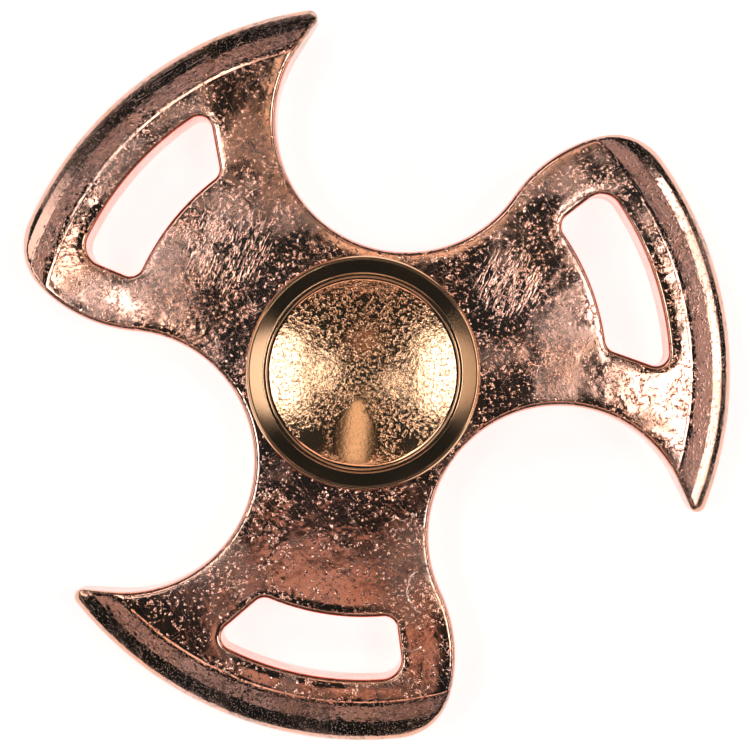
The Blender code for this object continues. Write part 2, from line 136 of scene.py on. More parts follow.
# Finger caps
SEAT_GAP = 0.05 * MM
CAP_EDGE_RADIUS = 0.55 * MM
CAP_BAND_WIDTH = 1.2 * MM
CAP_BAND_DROP = 0.75 * MM
CAP_ROLL_LEAN = 0.35             # share of the band's slope that its outer rounding starts with
CAP_LIP_WIDTH = 0.35 * MM
CAP_LIP_ROUND = 0.06 * MM
CAP_RIM_STEP = 0.15 * MM
CAP_RIM_STEP_WIDTH = 0.25 * MM
DISH_DEPTH = 1.05 * MM
CAP_CLEARANCE = 0.4 * MM
SHOULDER_INSET = 0.6 * MM
CAP_CHAMFER = 0.15 * MM
STUD_RADIUS = 2.4 * MM
STUD_GAP = 0.1 * MM
STUD_ROUND = 0.12 * MM
SOCKET_SPARE = 0.4 * MM
BAND_OUTER = CAP_RADIUS - CAP_EDGE_RADIUS
LIP_OUTER = BAND_OUTER - CAP_BAND_WIDTH
LIP_INNER = LIP_OUTER - CAP_LIP_WIDTH
DISH_RADIUS = LIP_INNER - CAP_RIM_STEP_WIDTH
BORE_RADIUS = 4.0 * MM
BOSS_RADIUS = BORE_RADIUS - BORE_GAP


# ---------------------------------------------------------------- plane geometry

AXIS = Vector((0, 0))


def polar(radius, angle):
    return Vector((radius * math.cos(angle), radius * math.sin(angle)))


def heading(vector):
    return math.atan2(vector.y, vector.x)


def turned_by(points, angle):
    return [polar(point.length, heading(point) + angle) for point in points]


def arc(centre, radius, start, end, steps):
    return [centre + polar(radius, start + (end - start) * i / steps) for i in range(steps + 1)]


def onward(start, end, sense=1):
    """The end direction as an angle reached from start by turning one way only."""
    return start + sense * ((sense * (end - start)) % (2 * math.pi))


def meeting_point(centre_a, radius_a, centre_b, radius_b):
    """Where two circles cross, on the left of the way from a to b."""
    between = centre_b - centre_a
    along = (between.length_squared + radius_a ** 2 - radius_b ** 2) / (2 * between.length)
    aside = math.sqrt(radius_a ** 2 - along ** 2)
    forward = between.normalized()
    return centre_a + along * forward + aside * Vector((-forward.y, forward.x))


def corner_centre(point, inward, reach, radius):
    """Centre of a fillet that touches the straight edge at point, at this reach from the axis."""
    base = point + inward * radius
    along = Vector((-inward.y, inward.x))
    middle = -base.dot(along)
    half = math.sqrt(middle ** 2 - base.length_squared + reach ** 2)
    ends = [base + along * (middle + side * half) for side in (-1, 1)]
    return min(ends, key=lambda end: (end - point).length)


def between(start, end):
    """Points evenly along a straight edge, without its ends."""
    return [start.lerp(end, i / LINE_STEPS) for i in range(1, LINE_STEPS)]


def circle(radius, segments):
    return arc(AXIS, radius, 0.0, 2 * math.pi * (1 - 1 / segments), segments - 1)


def blade_outline(inset):
    """Outline of the casting, anticlockwise, moved inwards by the inset: tangent arcs only."""
    heel = polar(ROTOR_RADIUS - HEEL_RADIUS, HEEL_ANGLE)
    valley_reach = BEARING_RADIUS + HUB_WALL + VALLEY_RADIUS
    valley = polar(valley_reach, VALLEY_ANGLE)
    flank = meeting_point(heel, FLANK_RADIUS - HEEL_RADIUS, valley, VALLEY_RADIUS + FLANK_RADIUS)

    last_valley = polar(valley_reach, VALLEY_ANGLE - SECTOR)
    leave = -math.pi / 2 - BEAK_LIFT
    inward = polar(1.0, leave)
    shoulder = last_valley + inward * VALLEY_RADIUS
    tip = corner_centre(shoulder, inward, ROTOR_RADIUS - TIP_RADIUS, TIP_RADIUS)

    back = heading(-inward)
    front = onward(back, heading(tip))
    blunt = onward(front, HEEL_ANGLE)
    side = onward(blunt, heading(heel - flank))
    waist = onward(side, heading(valley - flank))
    start = heading(flank - valley)
    end = onward(start, leave + SECTOR, -1)

    sector = between(shoulder + inward * inset, tip - inward * (TIP_RADIUS - inset))
    sector += arc(tip, TIP_RADIUS - inset, back, front, TIP_STEPS)
    sector += arc(AXIS, ROTOR_RADIUS - inset, front, blunt, RIM_STEPS)[1:]
    sector += arc(heel, HEEL_RADIUS - inset, blunt, side, HEEL_STEPS)[1:]
    sector += arc(flank, FLANK_RADIUS - inset, side, waist, FLANK_STEPS)[1:]
    sector += arc(valley, VALLEY_RADIUS + inset, start, end, VALLEY_STEPS)[1:]
    return [p for k in range(BLADE_COUNT) for p in turned_by(sector, k * SECTOR)]


def slot_outline(grow, blade):
    """Window through one blade, clockwise, moved outwards into the metal by grow."""
    heel_edge = polar(SLOT_INNER, SLOT_HEEL_ANGLE)
    heel_inward = polar(1.0, SLOT_HEEL_ANGLE - math.pi / 2)
    beak_edge = polar(SLOT_OUTER, SLOT_BEAK_ANGLE)
    beak_inward = polar(1.0, SLOT_BEAK_ANGLE + math.pi / 2 - SLOT_BEAK_SLANT)
    corners = (
        (heel_edge, heel_inward, SLOT_OUTER, -1, SLOT_HEEL_CORNER),
        (beak_edge, beak_inward, SLOT_OUTER, -1, SLOT_CORNER),
        (beak_edge, beak_inward, SLOT_INNER, 1, SLOT_CORNER),
        (heel_edge, heel_inward, SLOT_INNER, 1, SLOT_CORNER),
    )
    points = []
    for number, (edge, inward, reach, side, radius) in enumerate(corners):
        centre = corner_centre(edge, inward, reach + side * radius, radius)
        at_arc = heading(-side * centre)
        at_edge = heading(-inward)
        start, end = (at_edge, at_arc) if number in (0, 2) else (at_arc, at_edge)
        corner = arc(centre, radius + grow, start, onward(start, end, -1), SLOT_CORNER_STEPS)
        if number in (1, 3):
            first = heading(points[-1])
            last = onward(first, heading(corner[0]), side)
            points += arc(AXIS, reach - side * grow, first, last, SLOT_ARC_STEPS)[1:-1]
        elif points:
            points += between(points[-1], corner[0])
        points += corner
    points += between(points[-1], points[0])
    return turned_by(points, blade * SECTOR)


# ---------------------------------------------------------------- relief of the casting

def as_array(loop):
    return np.array([(p.x, p.y) for p in loop])


def inside(points, loop):
    """Which of the points lie inside the loop, all as arrays."""
    result = np.zeros(len(points), bool)
    x, y = points[:, 0], points[:, 1]
    for (ax, ay), (bx, by) in zip(np.roll(loop, 1, axis=0), loop):
        if ay == by:
            continue
        crosses = (ay > y) != (by > y)
        result ^= crosses & (x < ax + (y - ay) * (bx - ax) / (by - ay))
    return result


def on_metal(points, outline, holes):
    """Which of the points lie inside the outline and in none of its holes."""
    result = inside(points, outline)
    for hole in holes:
        result &= ~inside(points, hole)
    return result


def distance(points, loop, limit):
    """Distance of each point from the loop, or the limit where it is further away."""
    best = np.full(len(points), limit)
    for a, b in zip(np.roll(loop, 1, axis=0), loop):
        edge = b - a
        near = np.flatnonzero((np.abs(points - (a + b) / 2) < limit + np.abs(edge)).all(axis=1))
        if not len(near):
            continue
        offset = points[near] - a
        share = np.clip(offset @ edge / (edge @ edge), 0.0, 1.0)
        gap = np.linalg.norm(offset - share[:, None] * edge, axis=1)
        best[near] = np.minimum(best[near], gap)
    return best


def quarter_round(gap, radius):
    """Drop of a rounded edge at a distance from it."""
    inner = np.clip(radius - gap, 0.0, radius)
    return radius - np.sqrt(radius ** 2 - inner ** 2)


def soft_ramp(past, blend):
    """Zero before the kink and a straight rise after it, rounded over twice the blend."""
    return np.where(past > blend, past, np.clip(past + blend, 0.0, 2 * blend) ** 2 / (4 * blend))


def turned_height(radius):
    """Height of the blades' faces from the bevel, the facets and the rounded rim alone."""
    width = ROLL_START - CREASE_RADIUS
    along = np.minimum(soft_ramp(radius - CREASE_RADIUS, CREASE_BLEND) / width, 1.0)
    end_slope = BEVEL_DROP * (1 + BEVEL_BEND) / width
    bevel = BEVEL_DROP * ((1 - BEVEL_BEND) * along + BEVEL_BEND * along ** 2)
    bevel += end_slope * np.clip(radius - ROLL_START, 0.0, ROLL_WIDTH)
    past_rim = radius - ROTOR_RADIUS
    facets = sum(slope * soft_ramp(past_rim + start, RIM_BLEND) for start, slope in RIM_FACETS)
    left = ROLL_DROP - end_slope * ROLL_WIDTH - sum(start * slope for start, slope in RIM_FACETS)
    share = np.clip(past_rim / RIM_ROUND + 1, 0.0, 1.0)
    return FACE - bevel - facets - left * (1 - np.sqrt(1 - share ** 2))


class SoftRelief:
    """How far the polishing took the faces down near their edges, read from a grid."""

    def __init__(self, outline, holes):
        self.low = -ROTOR_RADIUS - 4 * CROWN_BLUR
        count = int(-2 * self.low / MASK_GRID) + 1
        line = self.low + MASK_GRID * np.arange(count)
        grid = np.stack(np.meshgrid(line, line, indexing="ij"), axis=-1).reshape(-1, 2)
        mask = on_metal(grid, outline, holes).reshape(count, count).astype(float)
        reach = int(4 * CROWN_BLUR / MASK_GRID)
        kernel = np.exp(-0.5 * (np.arange(-reach, reach + 1) * MASK_GRID / CROWN_BLUR) ** 2)
        kernel /= kernel.sum()
        for axis in (0, 1):
            mask = np.apply_along_axis(np.convolve, axis, mask, kernel, "same")
        away = np.clip(1 - mask, 0.0, 0.5) / 0.5
        self.drop = CROWN_DROP * away ** 2

    def at(self, points):
        inner = np.clip(points, self.low + MASK_GRID, -self.low - 2 * MASK_GRID)
        place = (inner - self.low) / MASK_GRID
        cell = np.floor(place).astype(int)
        share = place - cell
        i, j = cell[:, 0], cell[:, 1]
        u, v = share[:, 0], share[:, 1]
        near = self.drop[i, j] * (1 - v) + self.drop[i, j + 1] * v
        far = self.drop[i + 1, j] * (1 - v) + self.drop[i + 1, j + 1] * v
        return near * (1 - u) + far * u


def wave_drop(points):
    """Slow unevenness left by hand polishing."""
    drops = []
    for x, y in points:
        value = noise.noise(Vector((x / WAVE_LENGTH, y / WAVE_LENGTH, WAVE_LAYER)))
        drops.append(WAVE_DROP * (0.5 - 0.5 * value))
    return np.array(drops)


def guide_rings():
    """Radii that the mesh follows across the crease and the starts of the facets."""
    creases = [CREASE_RADIUS + CREASE_BLEND * share for share in (-1.5, -1, -0.5, 0, 0.5, 1, 1.5)]
    facets = [ROTOR_RADIUS - start + RIM_BLEND * share
              for start, _ in RIM_FACETS for share in (-1, -0.3, 0.3, 1)]
    return creases + facets


def guide_loops(rings):
    """Loops that the mesh follows over its rounded edges, and the rings."""
    shares = (0.012, 0.05, 0.11, 0.2, 0.31, 0.45, 0.62, 0.8, 1.0, 1.25)
    loops = [blade_outline(share * EDGE_FILLET) for share in shares]
    loops += [slot_outline(share * SLOT_FILLET, blade)
              for blade in range(BLADE_COUNT) for share in shares[:-1]]
    return loops + [circle(radius, 2 * FINE_SEGMENTS) for radius in rings]


def face_grid(outline, holes, rings):
    """Staggered grid of points over the faces, clear of the edges and the rings."""
    row = np.arange(-ROTOR_RADIUS, ROTOR_RADIUS, FACE_GRID)
    grid = np.stack(np.meshgrid(row, row), axis=-1)
    grid[1::2, :, 0] += FACE_GRID / 2
    grid = grid.reshape(-1, 2)
    grid = grid[on_metal(grid, outline, holes)]
    for loop in (outline, *holes):
        grid = grid[distance(grid, loop, 2 * EDGE_MARGIN) > EDGE_MARGIN]
    radius = np.linalg.norm(grid, axis=1)
    for ring in rings:
        off_ring = np.abs(radius - ring) > 0.4 * FACE_GRID
        grid, radius = grid[off_ring], radius[off_ring]
    return [Vector(point) for point in grid]


def face_heights(plane, outline, slots):
    """Height of the upper face at each point: turned, rounded at its edges and hand-polished."""
    heights = turned_height(np.linalg.norm(plane, axis=1))
    heights -= quarter_round(distance(plane, outline, 2 * EDGE_FILLET), EDGE_FILLET)
    for slot in slots:
        heights -= quarter_round(distance(plane, slot, 2 * SLOT_FILLET), SLOT_FILLET)
    return heights - (SoftRelief(outline, slots).at(plane) + wave_drop(plane))


def rotor_mesh():
    """Upper half as a relief over the outline with its walls down to the mid-plane."""
    outline = blade_outline(0.0)
    bore = circle(BEARING_RADIUS + BORE_GAP, FINE_SEGMENTS)
    slots = [slot_outline(0.0, blade) for blade in range(BLADE_COUNT)]
    flat_outline = as_array(outline)
    flat_slots = [as_array(slot) for slot in slots]
    holes = [as_array(bore), *flat_slots]
    rings = guide_rings()

    points = []
    edges = []
    for loop in [outline, bore, *slots] + guide_loops(rings):
        first = len(points)
        points += loop
        edges += [(first + i, first + (i + 1) % len(loop)) for i in range(len(loop))]
    points += face_grid(flat_outline, holes, rings)
    flat, _, faces, _, _, _ = geometry.delaunay_2d_cdt(points, edges, [], 0, MERGE)

    plane = as_array(flat)
    heights = face_heights(plane, flat_outline, flat_slots)
    middles = np.array([plane[list(face)].mean(axis=0) for face in faces])
    bm = bmesh.new()
    verts = [bm.verts.new((x, y, z)) for (x, y), z in zip(plane, heights)]
    for face, is_solid in zip(faces, on_metal(middles, flat_outline, holes)):
        if is_solid:
            bm.faces.new([verts[i] for i in face])
    bmesh.ops.delete(bm, geom=[v for v in bm.verts if not v.link_faces], context="VERTS")
    rims = [edge for edge in bm.edges if edge.is_boundary]
    walls = bmesh.ops.extrude_edge_only(bm, edges=rims)["geom"]
    for part in walls:
        if isinstance(part, bmesh.types.BMVert):
            part.co.z = 0.0
    return mesh_from(bm, "rotor_casting")


# ---------------------------------------------------------------- mesh helpers

def mesh_from(bm, name, recalculate=True):
    """The finished mesh of a bmesh, with its normals turned outwards unless they are already."""
    if recalculate:
        bmesh.ops.recalc_face_normals(bm, faces=bm.faces)
    mesh = bpy.data.meshes.new(name)
    bm.to_mesh(mesh)
    bm.free()
    return mesh


def in_scene(name, data):
    """A new object of the scene that shows this data."""
    thing = bpy.data.objects.new(name, data)
    bpy.context.scene.collection.objects.link(thing)
    return thing


def finished(piece, sharp=SHARP_ANGLE):
    """Smooth shading that breaks at the sharp edges and stays even on broad faces."""
    piece.data.shade_smooth()
    piece.data.set_sharp_from_angle(angle=sharp)
    weighted = piece.modifiers.new("even_shading", "WEIGHTED_NORMAL")
    weighted.keep_sharp = True
    return piece


def placed(name, mesh, look, body, node):
    """A finished piece that stands for one CAD node and moves with its body."""
    piece = in_scene(name, mesh)
    mesh.materials.append(look)
    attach(piece, body)
    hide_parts(node)
    return piece


def softened(profile, size, steps=4, closed=True):
    """Rounds every corner of a profile by at most this size."""
    points = [Vector(p) for p in profile]
    rounded = []
    for i, corner in enumerate(points):
        if not closed and i in (0, len(points) - 1):
            rounded.append(corner)
            continue
        before = points[i - 1] - corner
        after = points[(i + 1) % len(points)] - corner
        if before.length < 2 * size and after.length < 2 * size:
            rounded.append(corner)
            continue
        start = corner + before.normalized() * min(size, 0.45 * before.length)
        end = corner + after.normalized() * min(size, 0.45 * after.length)
        for k in range(steps + 1):
            t = k / steps
            rounded.append((1 - t) ** 2 * start + 2 * t * (1 - t) * corner + t ** 2 * end)
    return rounded


def turned_mesh(name, profile, closed=True, segments=FINE_SEGMENTS):
    """Spins a profile of (radius, height) about Z. An open profile starts and ends on the axis."""
    bm = bmesh.new()
    points = [bm.verts.new((radius, 0.0, height)) for radius, height in profile]
    edges = [bm.edges.new(pair) for pair in zip(points, points[1:])]
    if closed:
        edges.append(bm.edges.new((points[-1], points[0])))
    bmesh.ops.spin(bm, geom=edges, axis=(0, 0, 1), cent=(0, 0, 0), angle=2 * math.pi,
                   steps=segments, use_merge=True)
    bmesh.ops.remove_doubles(bm, verts=bm.verts, dist=0.2 * MERGE)
    return mesh_from(bm, name)


def arc_profile(radius, height, size, start, end, steps):
    """Profile points on an arc of this size round a centre at (radius, height)."""
    angles = [start + (end - start) * i / steps for i in range(steps + 1)]
    return [(radius + size * math.cos(a), height + size * math.sin(a)) for a in angles]


def flipped(profile, side):
    """The profile for the upper side (1) or the lower one (-1)."""
    return [(radius, side * height) for radius, height in profile]


# ---------------------------------------------------------------- materials

ROSE = (0.93, 0.54, 0.42)
COPPER = (0.90, 0.44, 0.28)
PALE_ROSE = (0.98, 0.76, 0.66)
# painted reflection: the salmon tint of the walls inside the rim
SALMON_WALL_REFLECTION = (0.91, 0.45, 0.35)
# painted dark reflection: the smoky colour mixed in where the plating mirrors the dark room
PAINTED_DARK_REFLECTION = (0.20, 0.17, 0.16)
CAP_GOLD = (0.95, 0.56, 0.33)
# painted dark reflection in the caps' dishes
CAP_PAINTED_DARK_REFLECTION = (0.24, 0.15, 0.09)

# Zones of the plating in mm: the centre, how far they hold in full and where they have faded out
SMOOTH_ZONE = ((-2.5, -21.0), 2.5, 6.5)
POLISHED_ZONES = (
    SMOOTH_ZONE,
    ((-12.0, 8.0), 3.0, 8.5),
    ((14.5, -4.5), 1.5, 5.0),
    ((15.0, 6.0), 1.0, 4.5),
    ((-19.0, -26.0), 2.0, 7.0),
    ((-1.5, -14.0), 2.5, 7.0),
    ((7.0, -29.0), 1.0, 5.0),
    ((-11.0, 29.0), 1.0, 4.5),
)
COMBED_ZONES = (((-13.5, 13.0), 2.0, 5.5), ((14.5, 9.0), 1.5, 4.0))
CAP_CALM_STRIP = ((-1.0, -6.5), 2.6, 3.9)
CAP_CALM_SPOTS = (((-4.9, -6.8), 0.8, 2.4), ((4.6, -7.2), 0.2, 2.0), ((0.1, 7.6), 0.2, 0.9),
                  ((-0.5, -3.4), 0.5, 1.6))

# Hairline arcs in mm: centre, radius, and the middle and reach of the part that shows
ARC_MARKS = (((7.2, -21.8), 2.7, (4.6, -21.9), 2.4), ((4.9, -26.8), 1.1, (4.9, -27.7), 1.0))
ARC_WANDER = 0.7

# Marks that run one way: direction, length and width in mm, and for the scratches also the
# values of the noise where one starts and where it holds
COMB_MARKS = (math.radians(66.0), 1.4, 0.24)
SCRATCHES = (((math.radians(31.0), 9.0, 0.07), 0.76, 0.80),
             ((math.radians(-58.0), 8.0, 0.06), 0.765, 0.805))

# Walls inside the rim in mm: where their painted salmon reflection starts and where it holds, by
# height and radius
WALL_HEIGHTS = (3.43, 3.28)
WALL_RADII = (32.6, 32.0)

PLATING_DEPTH = 0.022 * MM
CAP_PLATING_DEPTH = 0.016 * MM
CAP_RINGS = 80.0                 # turning marks of the caps, in radians per mm
PRESSED_DEPTH = 0.006 * MM

# Inputs of the mix node: the share and the two values to mix
MIX_NUMBERS = (0, 2, 3)
MIX_COLOURS = (0, 6, 7)


class Shader:
    """A metal with its nodes: values are numbers, colours or the outputs of other nodes."""

    def __init__(self, name, colour, roughness):
        self.material = bpy.data.materials.new(name)
        self.material.use_nodes = True
        self.tree = self.material.node_tree
        self.surface = self.tree.nodes["Principled BSDF"]
        self.surface.inputs["Metallic"].default_value = 1.0
        self.set(self.surface, "Base Color", colour)
        self.set(self.surface, "Roughness", roughness)
        self.material.diffuse_color = (*colour, 1.0)

    def set(self, node, socket, value):
        target = node.inputs[socket]
        if isinstance(value, bpy.types.NodeSocket):
            self.tree.links.new(value, target)
        elif isinstance(value, tuple) and len(value) == 3 and target.type == "RGBA":
            target.default_value = (*value, 1.0)
        else:
            target.default_value = value

    def add(self, kind, settings=None, **values):
        """A new node. The keyword i0 stands for its first input, and Some_Name for a named one."""
        node = self.tree.nodes.new(kind)
        for key, value in (settings or {}).items():
            setattr(node, key, value)
        for socket, value in values.items():
            numbered = socket[0] == "i" and socket[1:].isdigit()
            self.set(node, int(socket[1:]) if numbered else socket.replace("_", " "), value)
        return node

    def position(self):
        """The surface point in millimetres, in the part's frame."""
        coords = self.add("ShaderNodeTexCoord").outputs["Object"]
        return self.add("ShaderNodeVectorMath", {"operation": "SCALE"}, i0=coords,
                        Scale=1 / MM).outputs[0]

    def coordinate(self, place, axis):
        return self.add("ShaderNodeSeparateXYZ", None, Vector=place).outputs[axis]

    def scaled(self, place, factors):
        return self.add("ShaderNodeVectorMath", {"operation": "MULTIPLY"}, i0=place,
                        i1=factors).outputs[0]

    def away(self, place, centre=(0.0, 0.0)):
        """Distance from a point in the plane of the blades, or from the axis."""
        flat = self.scaled(place, (1.0, 1.0, 0.0))
        return self.add("ShaderNodeVectorMath", {"operation": "DISTANCE"}, i0=flat,
                        i1=(*centre, 0.0)).outputs["Value"]

    def math(self, operation, a, b=0.0, c=0.0):
        return self.add("ShaderNodeMath", {"operation": operation}, i0=a, i1=b, i2=c).outputs[0]

    def product(self, a, b):
        return self.math("MULTIPLY", a, b)

    def raised(self, height, *layers):
        """The height with layers on it, each a pattern and how much of it to add."""
        for pattern, amount in layers:
            height = self.math("MULTIPLY_ADD", pattern, amount, height)
        return height

    def largest(self, values):
        first, *others = values
        for other in others:
            first = self.math("MAXIMUM", first, other)
        return first

    def noise(self, place, size, detail=2.0, roughness=0.5):
        """Noise from 0 to 1 whose lumps are about this many millimetres apart."""
        return self.add("ShaderNodeTexNoise", None, Vector=place, Scale=1 / size, Detail=detail,
                        Roughness=roughness).outputs["Fac"]

    def streaks(self, place, turn, along, across, detail=1.0, roughness=0.5):
        """Noise drawn out to this length and width and turned about Z: marks that run one way."""
        node = self.add("ShaderNodeMapping", {"vector_type": "TEXTURE"}, Vector=place,
                        Rotation=(0.0, 0.0, turn), Scale=(along, across, across))
        return self.noise(node.outputs[0], 1.0, detail, roughness)

    def band(self, value, low, high, out_low=0.0, out_high=1.0):
        """Maps low..high to out_low..out_high with soft ends, and holds beyond them."""
        node = self.add("ShaderNodeMapRange", {"interpolation_type": "SMOOTHSTEP"})
        for index, entry in enumerate((value, low, high, out_low, out_high)):
            self.set(node, index, entry)
        return node.outputs[0]

    def mix(self, share, a, b):
        """A number between a and b."""
        node = self.add("ShaderNodeMix", {"data_type": "FLOAT"})
        for index, entry in zip(MIX_NUMBERS, (share, a, b)):
            self.set(node, index, entry)
        return node.outputs[0]

    def tint(self, share, a, b):
        """A colour between a and b."""
        node = self.add("ShaderNodeMix", {"data_type": "RGBA", "blend_type": "MIX"})
        for index, entry in zip(MIX_COLOURS, (share, a, b)):
            self.set(node, index, entry)
        return node.outputs[2]

    def near(self, place, centre, inner, outer):
        """1 within the inner distance of a point in the plane of the blades, 0 past the outer."""
        return self.band(self.away(place, centre), outer, inner)

    def zones(self, place, zones):
        """1 inside any of the zones, fading out round each of them."""
        return self.largest(self.near(place, *zone) for zone in zones)

    def arc_mark(self, place, centre, radius, middle, reach):
        """1 on a hairline arc of this radius, within reach of its middle."""
        wobble = self.product(self.noise(place, size=1.1, detail=1.0), ARC_WANDER)
        past = self.math("SUBTRACT", self.away(place, centre), radius + ARC_WANDER / 2)
        line = self.band(self.math("ABSOLUTE", self.math("ADD", past, wobble)), 0.15, 0.04)
        return self.product(line, self.near(place, middle, 0.8 * reach, reach))

    def bump(self, height, depth):
        """Raises the surface by the height times the depth, in the shading alone."""
        node = self.add("ShaderNodeBump", None, Height=height, Distance=depth, Strength=1.0)
        self.tree.links.new(node.outputs[0], self.surface.inputs["Normal"])


def plating_relief(shader, place, polished, marks, cuts):
    """Height of the plating: specks, grain, lumps, orange peel and comb marks, calm at the rim."""
    radius = shader.away(place)
    smooth = shader.near(place, *SMOOTH_ZONE)
    grainy = shader.band(shader.noise(place, size=4.0, detail=3.0, roughness=0.6), 0.42, 0.58)
    grainy = shader.product(grainy, shader.mix(smooth, 1.0, 0.12))
    speckled = shader.product(grainy, shader.mix(polished, 1.0, 0.25))
    specks = shader.band(shader.noise(place, size=0.33, detail=1.0),
                         shader.mix(speckled, 0.60, 0.53), shader.mix(speckled, 0.86, 0.80))
    combed = shader.band(shader.streaks(place, *COMB_MARKS), 0.50, 0.66)
    combed = shader.product(combed, shader.zones(place, COMBED_ZONES))

    on_bevel = shader.band(radius, CREASE_RADIUS / MM, CREASE_RADIUS / MM + 0.5)
    grain_depth = shader.raised(shader.mix(speckled, 0.04, 0.20), (on_bevel, 0.16))
    to_the_left = shader.band(shader.coordinate(place, "X"), 12.0, -4.0)
    lump_depth = shader.raised(shader.mix(grainy, 0.25, 0.7),
                               (shader.product(on_bevel, to_the_left), 1.9))
    height = shader.raised(shader.product(specks, shader.mix(grainy, 0.8, 1.4)),
                           (shader.noise(place, size=0.20), grain_depth),
                           (shader.noise(place, size=0.95, detail=1.0), lump_depth),
                           (shader.noise(place, size=2.4, detail=1.0), 0.9),
                           (combed, 0.9))
    first_facet = (ROTOR_RADIUS - RIM_FACETS[0][0]) / MM
    on_facets = shader.band(radius, first_facet - 0.2, first_facet + 0.2)
    height = shader.product(height, shader.mix(on_facets, 1.0, 0.25))
    return shader.raised(height, (marks, 1.2), (cuts, -0.6))


def plating_colour(shader, place, bare):
    """Rose gold, copper in wide patches, smoky painted dark reflection, pale scratches, painted
    salmon reflection on walls.
    """
    warm = shader.band(shader.noise(place, size=9.0), 0.45, 0.62, 0.0, 0.6)
    # painted dark reflection: smoky mottles in the colour that stand in for the dark room mirrored
    # by the plating
    dark_reflection_fine = shader.noise(place, size=0.6, detail=4.0, roughness=0.75)
    dark_reflection_wide = shader.noise(place, size=5.5, detail=4.0, roughness=0.6)
    painted_dark_reflection = shader.band(shader.raised(dark_reflection_fine, (dark_reflection_wide, 0.9)), 0.97, 1.12)
    # walls inside the rim get a painted salmon reflection in their colour
    height_above = shader.math("ABSOLUTE", shader.coordinate(place, "Z"))
    wall_reflection_share = shader.product(shader.band(height_above, *WALL_HEIGHTS),
                                shader.band(shader.away(place), *WALL_RADII))
    colour = shader.tint(warm, ROSE, COPPER)
    colour = shader.tint(shader.product(painted_dark_reflection, 0.55), colour, PAINTED_DARK_REFLECTION)
    colour = shader.tint(shader.product(bare, 0.8), colour, PALE_ROSE)
    return shader.tint(wall_reflection_share, colour, SALMON_WALL_REFLECTION)


def plating_roughness(shader, place, polished):
    """Mirror with satin patches, more of them towards the ends of the blades."""
    patches = shader.noise(place, size=6.0, detail=4.0, roughness=0.62)
    on_blade = shader.band(shader.away(place), 14.5, 19.0, -0.05, 0.06)
    satin = shader.band(shader.math("ADD", patches, on_blade), 0.47, 0.64)
    satin = shader.product(satin, shader.mix(polished, 1.0, 0.08))
    return shader.mix(satin, 0.07, 0.20)


def rose_gold():
    """Electroplated casting: dark mirror with orange peel, specks, satin patches and scratches."""
    shader = Shader("rose_gold_plating", ROSE, 0.14)
    place = shader.position()
    polished = shader.zones(place, POLISHED_ZONES)
    marks = shader.largest(shader.arc_mark(place, *mark) for mark in ARC_MARKS)
    cuts = shader.largest(shader.band(shader.streaks(place, *run, detail=0.0), low, high)
                          for run, low, high in SCRATCHES)
    shader.bump(plating_relief(shader, place, polished, marks, cuts), PLATING_DEPTH)
    bare = shader.largest((cuts, marks))
    shader.set(shader.surface, "Base Color", plating_colour(shader, place, bare))
    shader.set(shader.surface, "Roughness", plating_roughness(shader, place, polished))
    return shader.material


def cap_gold():
    """Turned cap: mottled dish with painted dark reflection and calm spots, polished band and lip
    with faint lathe rings.
    """
    shader = Shader("cap_gold_plating", CAP_GOLD, 0.08)
    place = shader.position()
    radius = shader.away(place)
    dish = shader.band(radius, DISH_RADIUS / MM, DISH_RADIUS / MM - 0.3)
    narrow = shader.scaled(place, (1.3, 1.0, 1.0))
    calm = shader.largest((shader.near(narrow, *CAP_CALM_STRIP),
                           shader.zones(place, CAP_CALM_SPOTS)))
    rough_dish = shader.product(dish, shader.mix(calm, 1.0, 0.10))
    specks = shader.band(shader.noise(place, size=0.36, roughness=0.6), 0.50, 0.66)
    fine = shader.noise(place, size=0.24, detail=3.0, roughness=0.65)
    lumps = shader.noise(place, size=0.8, detail=3.0, roughness=0.6)
    mottle = shader.raised(shader.product(fine, 0.4), (specks, 0.8), (lumps, 1.2))
    rings = shader.math("SINE", shader.product(radius, CAP_RINGS))
    height = shader.raised(shader.product(mottle, rough_dish), (rings, 0.004))
    shader.bump(height, CAP_PLATING_DEPTH)
    # painted dark reflection: smoky mottles in the dish's colour, fewer in the calm spots
    painted_dark_reflection = shader.band(shader.noise(place, size=0.5, detail=4.0, roughness=0.75), 0.50, 0.62)
    painted_dark_reflection = shader.product(painted_dark_reflection, shader.product(rough_dish, 0.6))
    shader.set(shader.surface, "Base Color", shader.tint(painted_dark_reflection, CAP_GOLD, CAP_PAINTED_DARK_REFLECTION))
    shader.set(shader.surface, "Roughness", shader.mix(dish, 0.09, 0.10))
    return shader.material


def turned_steel(name, colour, roughness, grooves, depth):
    """Steel with fine rings round the axis, so many to a millimetre, and slight blotches."""
    shader = Shader(name, colour, roughness)
    place = shader.position()
    spoke = shader.add("ShaderNodeCombineXYZ", None, X=shader.away(place)).outputs[0]
    lines = shader.noise(spoke, size=1 / grooves, detail=3.0, roughness=0.7)
    blotch = shader.noise(place, size=2.0, detail=3.0)
    shader.bump(lines, depth)
    shader.set(shader.surface, "Roughness",
               shader.band(blotch, 0.3, 0.7, 0.8 * roughness, 1.4 * roughness))
    dull = tuple(0.75 * channel for channel in colour)
    shader.set(shader.surface, "Base Color", shader.tint(blotch, dull, colour))
    return shader.material


def pressed_steel(name, colour, roughness):
    """Sheet or wire steel with small dents and a rolled grain."""
    shader = Shader(name, colour, roughness)
    place = shader.position()
    grain = shader.streaks(place, 0.0, 2.0, 0.15, detail=3.0, roughness=0.6)
    dents = shader.noise(place, size=0.6)
    shader.bump(shader.raised(grain, (dents, 0.8)), PRESSED_DEPTH)
    shader.set(shader.surface, "Roughness",
               shader.band(dents, 0.3, 0.7, 0.7 * roughness, 1.3 * roughness))
    dull = tuple(0.7 * channel for channel in colour)
    shader.set(shader.surface, "Base Color", shader.tint(grain, dull, colour))
    return shader.material


# ---------------------------------------------------------------- casting

